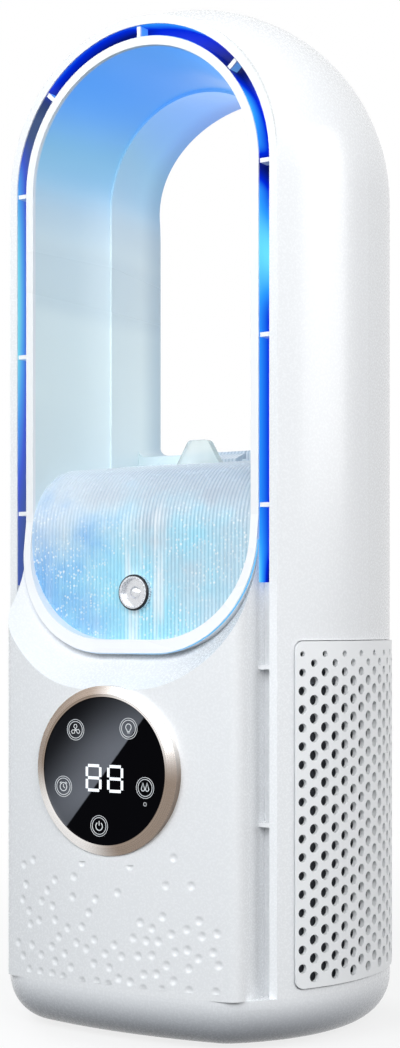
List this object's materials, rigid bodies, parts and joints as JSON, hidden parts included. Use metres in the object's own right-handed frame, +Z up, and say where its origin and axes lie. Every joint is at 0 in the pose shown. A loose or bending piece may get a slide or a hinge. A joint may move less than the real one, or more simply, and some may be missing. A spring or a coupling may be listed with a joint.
{
  "type": "desktop air cooler",
  "caption": "Capsule-shaped desktop air cooler with an open wind loop, lit blowing slot, mist tank with flap, round touch display and perforated side intakes.",
  "frame": {"origin": "on the floor, under the middle of the footprint's box", "axes": "+Z up, front with the display towards -Y, +X to the right of someone facing the front"},
  "size_m": [0.1326, 0.1234, 0.345],
  "materials": {
    "white_shell": "satin white moulding",
    "white_loop": "satin white moulding",
    "white_grille": "fine matt white",
    "light_blue": "glowing blue diffuser",
    "champagne_metal": "brushed champagne anodised",
    "display_black": "polished black",
    "board_green": "lacquered",
    "tank_clear": "clear moulding",
    "cover_ribbed": "ribbed translucent",
    "tab_clear": "clear moulding",
    "black_rubber": "matt",
    "steel": "brushed",
    "grey_plastic": "matt",
    "motor_metal": "satin",
    "inlet_black": "matt"
  },
  "bodies": {
    "body": {"shell": "white_shell", "base_tray": "white_shell", "front_panel": "white_shell", "loop_frame": "white_loop", "liner_front": "white_loop", "liner_rear": "white_loop", "grille_left": "white_grille", "grille_right": "white_grille", "light_strip": "light_blue", "display_bezel": "champagne_metal", "display_glass": "display_black", "display_board": "board_green", "water_tank": "tank_clear", "tank_cover": "cover_ribbed", "nozzle_ring": "black_rubber", "foot_1": "black_rubber", "foot_2": "black_rubber", "foot_3": "black_rubber", "foot_4": "black_rubber", "mist_disc": "steel", "hinge_pin": "steel", "blower_shroud": "grey_plastic", "motor_mount": "grey_plastic", "air_deck": "grey_plastic", "motor": "motor_metal", "power_inlet": "inlet_black"},
    "impeller": {"impeller": "grey_plastic"},
    "flap": {"fill_flap": "cover_ribbed", "flap_tab": "tab_clear"}
  },
  "joints": [
    {"name": "impeller_spin", "type": "hinge", "parent": "body", "child": "impeller", "pos_m": [0, 0.0116, 0.096], "axis": [0, 0, 1], "continuous": true},
    {"name": "flap_hinge", "type": "hinge", "parent": "body", "child": "flap", "pos_m": [0, 0.0147, 0.19484], "axis": [-1, 0, 0], "range_deg": [0, 95]}
  ]
}
